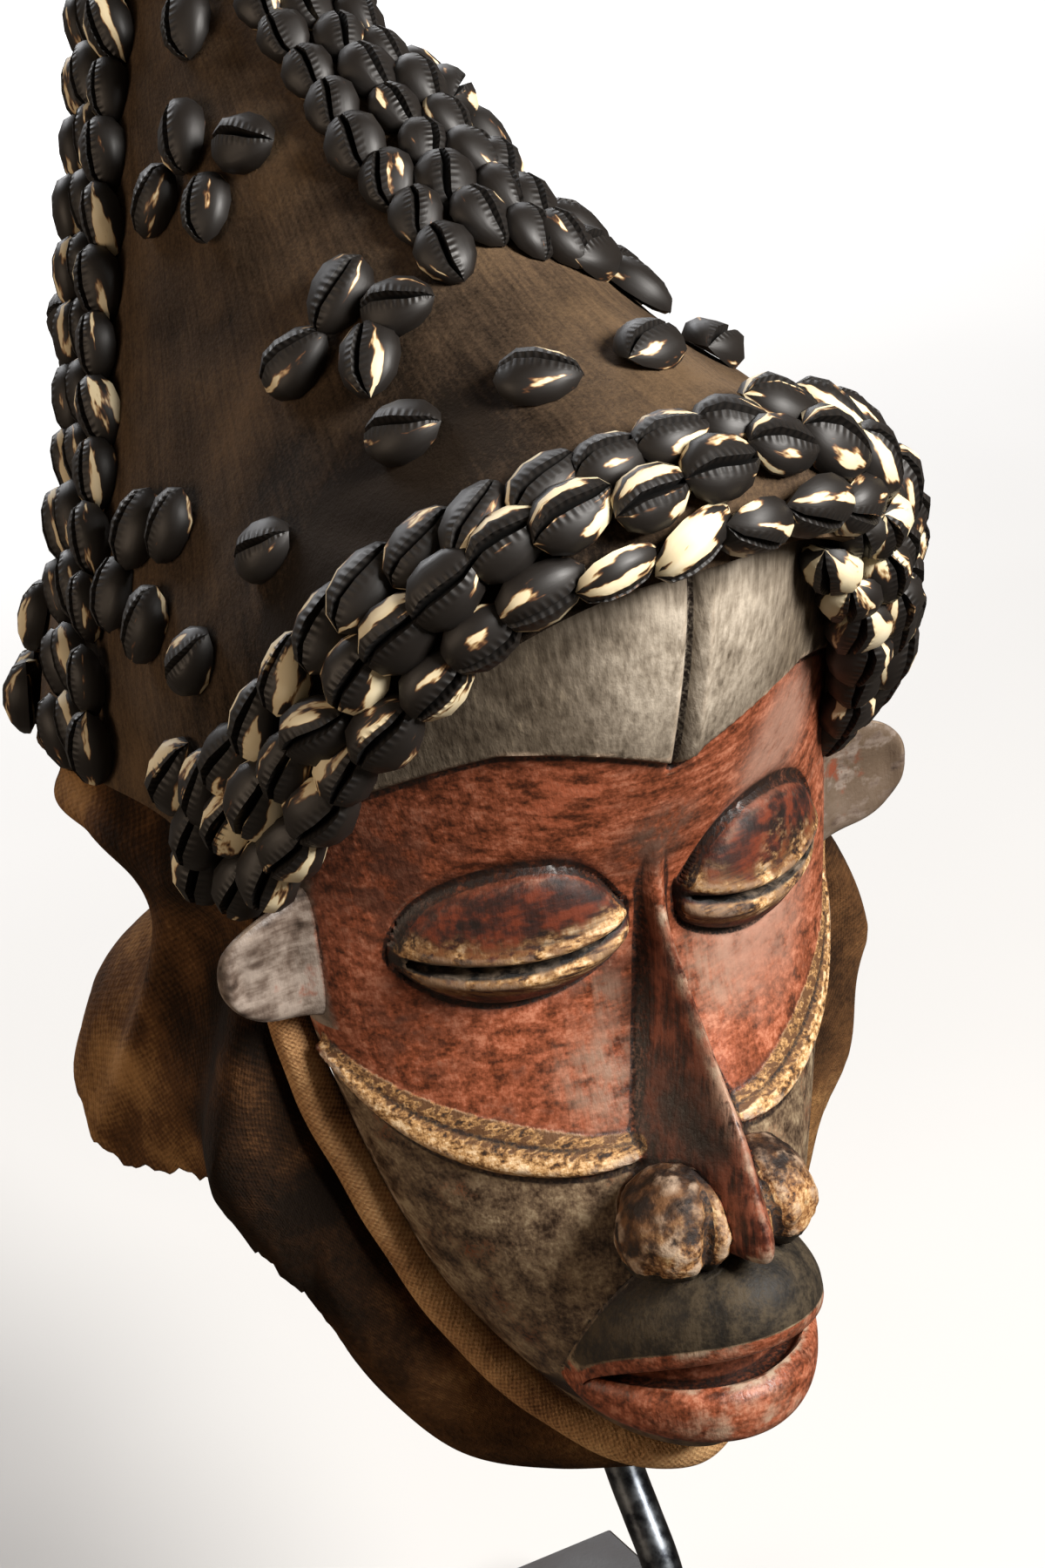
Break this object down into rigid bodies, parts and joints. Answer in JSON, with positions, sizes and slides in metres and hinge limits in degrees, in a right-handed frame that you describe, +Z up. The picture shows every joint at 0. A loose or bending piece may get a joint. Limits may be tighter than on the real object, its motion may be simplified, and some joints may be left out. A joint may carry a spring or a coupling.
{
  "type": "mask with a cowrie-covered conical hood on a stand",
  "caption": "Hollow carved wooden face mask with a leaning cowrie-covered hide hood, neck cloth and rolled hem, on a bent rod and flat block.",
  "frame": {"origin": "centre of the block's flat underside", "axes": "+Z up; -Y is the way the face looks; +X is to the right of someone facing the mask"},
  "size_m": [0.2266, 0.3565, 0.6538],
  "materials": {
    "painted_wood": "worn red and grey-brown paint on carved wood",
    "hide": "matt brown hide, creased",
    "cowrie_shell": "polished black and ivory natural shell, worn at the edges",
    "hem_cloth": "rolled tan plain weave",
    "neck_cloth": "coarse brown plain weave with a frayed edge",
    "steel_rod": "dark, smooth",
    "steel_block": "dark brown-grey satin"
  },
  "bodies": {
    "root": {"carved_face": "painted_wood", "hide_hood": "hide", "brow_cowries": "cowrie_shell", "crest_cowries": "cowrie_shell", "side_cowries_right": "cowrie_shell", "side_cowries_left": "cowrie_shell", "nape_cowries": "cowrie_shell", "cowrie_four_high_1_right": "cowrie_shell", "cowrie_four_high_1_left": "cowrie_shell", "cowrie_four_high_2_right": "cowrie_shell", "cowrie_four_high_2_left": "cowrie_shell", "cowrie_four_high_3_right": "cowrie_shell", "cowrie_four_high_3_left": "cowrie_shell", "cowrie_four_high_4_right": "cowrie_shell", "cowrie_four_high_4_left": "cowrie_shell", "cowrie_four_low_1_right": "cowrie_shell", "cowrie_four_low_1_left": "cowrie_shell", "cowrie_four_low_2_right": "cowrie_shell", "cowrie_four_low_2_left": "cowrie_shell", "cowrie_four_low_3_right": "cowrie_shell", "cowrie_four_low_3_left": "cowrie_shell", "cowrie_four_low_4_right": "cowrie_shell", "cowrie_four_low_4_left": "cowrie_shell", "cowrie_four_rear_1_right": "cowrie_shell", "cowrie_four_rear_1_left": "cowrie_shell", "cowrie_four_rear_2_right": "cowrie_shell", "cowrie_four_rear_2_left": "cowrie_shell", "cowrie_four_rear_3_right": "cowrie_shell", "cowrie_four_rear_3_left": "cowrie_shell", "cowrie_four_rear_4_right": "cowrie_shell", "cowrie_four_rear_4_left": "cowrie_shell", "cowrie_pair_up_1_right": "cowrie_shell", "cowrie_pair_up_1_left": "cowrie_shell", "cowrie_pair_up_2_right": "cowrie_shell", "cowrie_pair_up_2_left": "cowrie_shell", "cowrie_pair_down_1_right": "cowrie_shell", "cowrie_pair_down_1_left": "cowrie_shell", "cowrie_pair_down_2_right": "cowrie_shell", "cowrie_pair_down_2_left": "cowrie_shell", "cowrie_one_tip_right": "cowrie_shell", "cowrie_one_tip_left": "cowrie_shell", "cowrie_one_middle_right": "cowrie_shell", "cowrie_one_middle_left": "cowrie_shell", "cowrie_one_low_right": "cowrie_shell", "cowrie_one_low_left": "cowrie_shell", "cowrie_one_side_right": "cowrie_shell", "cowrie_one_side_left": "cowrie_shell", "cowrie_one_back_right": "cowrie_shell", "cowrie_one_back_left": "cowrie_shell", "rolled_hem": "hem_cloth", "neck_cloth": "neck_cloth", "base_block": "steel_block", "mount_rod": "steel_rod"}
  },
  "joints": []
}
